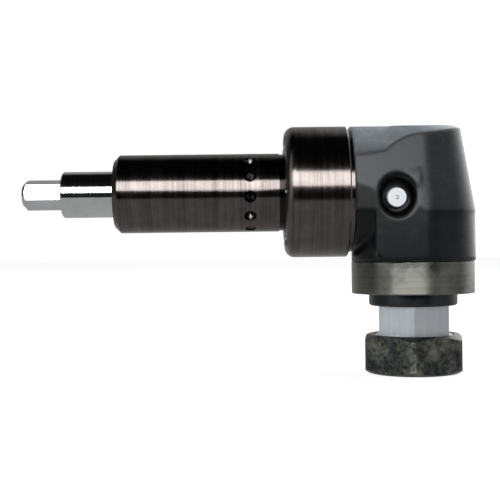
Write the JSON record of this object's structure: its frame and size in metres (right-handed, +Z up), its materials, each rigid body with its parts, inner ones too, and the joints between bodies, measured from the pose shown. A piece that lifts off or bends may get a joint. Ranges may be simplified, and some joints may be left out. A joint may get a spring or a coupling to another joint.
{
  "type": "right angle drill head",
  "caption": "Right angle drill head: flanged shank with hexagonal drive shaft, bevel gears in a black head, and a spindle with collet nut pointing down.",
  "frame": {"origin": "on the shank's axis, in the collar's shoulder face", "axes": "+X along the shank towards the head, +Z up, the spindle points along -Z"},
  "size_m": [0.1472, 0.0424, 0.0802],
  "materials": {
    "shank_oxide": "semi-gloss black oxide",
    "head_enamel": "semi-gloss black enamel",
    "cap_steel": "turned, blackened",
    "nut_oxide": "worn black oxide",
    "bright_steel": "satin ground",
    "polished_steel": "polished",
    "seal_rubber": "matte",
    "nipple_steel": "plated, satin",
    "bearing_steel": "ground",
    "screw_oxide": "black oxide",
    "gear_steel": "machined"
  },
  "bodies": {
    "housing": {"flanged_shank": "shank_oxide", "head_housing": "head_enamel", "bearing_cap": "cap_steel", "rear_shaft_seal": "seal_rubber", "rear_needle_shell": "bearing_steel", "input_bearing_clamp_ring": "cap_steel", "input_left_bearing_outer_ring": "bearing_steel", "input_right_bearing_outer_ring": "bearing_steel", "spindle_middle_bearing_outer_ring": "bearing_steel", "spindle_lower_bearing_outer_ring": "bearing_steel", "spindle_top_bearing_outer_ring": "bearing_steel", "spindle_seal": "seal_rubber", "collar_screws": "screw_oxide", "dowel_pin": "bearing_steel", "cap_screws": "screw_oxide", "nipple_body": "nipple_steel"},
    "input_shaft": {"input_shaft": "polished_steel", "input_bevel_gear": "gear_steel", "input_gear_key": "gear_steel", "input_gear_nut": "screw_oxide", "input_locknut": "screw_oxide", "input_left_bearing_inner_ring": "bearing_steel", "input_right_bearing_inner_ring": "bearing_steel"},
    "spindle": {"output_spindle": "bright_steel", "output_bevel_gear": "gear_steel", "output_gear_key": "gear_steel", "output_gear_nut": "screw_oxide", "spindle_middle_bearing_inner_ring": "bearing_steel", "spindle_lower_bearing_inner_ring": "bearing_steel", "spindle_top_bearing_inner_ring": "bearing_steel"},
    "input_balls": {"input_left_bearing_balls": "bearing_steel", "input_right_bearing_balls": "bearing_steel"},
    "needles": {"rear_needles": "bearing_steel"},
    "spindle_balls": {"spindle_middle_bearing_balls": "bearing_steel", "spindle_lower_bearing_balls": "bearing_steel"},
    "top_balls": {"spindle_top_bearing_balls": "bearing_steel"},
    "collet": {"collet": "bright_steel"},
    "collet_nut": {"collet_nut": "nut_oxide", "collet_clip_ring": "bearing_steel"},
    "nipple_ball": {"nipple_ball": "bearing_steel", "nipple_spring": "bearing_steel"}
  },
  "joints": [
    {"name": "input_shaft_spin", "type": "hinge", "parent": "housing", "child": "input_shaft", "pos_m": [0, 0, 0], "axis": [1, 0, 0], "continuous": true},
    {"name": "spindle_spin", "type": "hinge", "parent": "housing", "child": "spindle", "pos_m": [0.0417, 0, 0], "axis": [0, 0, 1], "continuous": true},
    {"name": "input_balls_spin", "type": "hinge", "parent": "housing", "child": "input_balls", "pos_m": [0, 0, 0], "axis": [1, 0, 0], "continuous": true},
    {"name": "needles_spin", "type": "hinge", "parent": "housing", "child": "needles", "pos_m": [-0.045, 0, 0], "axis": [1, 0, 0], "continuous": true},
    {"name": "spindle_balls_spin", "type": "hinge", "parent": "housing", "child": "spindle_balls", "pos_m": [0.0417, 0, -0.024], "axis": [0, 0, 1], "continuous": true},
    {"name": "top_balls_spin", "type": "hinge", "parent": "housing", "child": "top_balls", "pos_m": [0.0417, 0, 0.0137], "axis": [0, 0, 1], "continuous": true},
    {"name": "collet_slide", "type": "slide", "parent": "spindle", "child": "collet", "axis": [0, 0, -1], "range_m": [0, 0.003]},
    {"name": "nut_turn", "type": "hinge", "parent": "collet", "child": "collet_nut", "pos_m": [0.0417, 0, -0.0528], "axis": [0, 0, -1], "range_deg": [0, 720]},
    {"name": "nipple_ball_press", "type": "slide", "parent": "housing", "child": "nipple_ball", "axis": [0, 1, 0], "range_m": [0, 0.0004], "stiffness_N_per_m": 300, "springref_m": -0.0005}
  ],
  "couplings": [
    {"joint": "spindle_spin", "follows": "input_shaft_spin", "ratio": -1},
    {"joint": "input_balls_spin", "follows": "input_shaft_spin", "ratio": 0.407},
    {"joint": "needles_spin", "follows": "input_shaft_spin", "ratio": 0.4401},
    {"joint": "spindle_balls_spin", "follows": "input_shaft_spin", "ratio": -0.407},
    {"joint": "top_balls_spin", "follows": "input_shaft_spin", "ratio": -0.4138},
    {"joint": "nut_turn", "follows": "collet_slide", "rad_per_m": 4188.8}
  ]
}
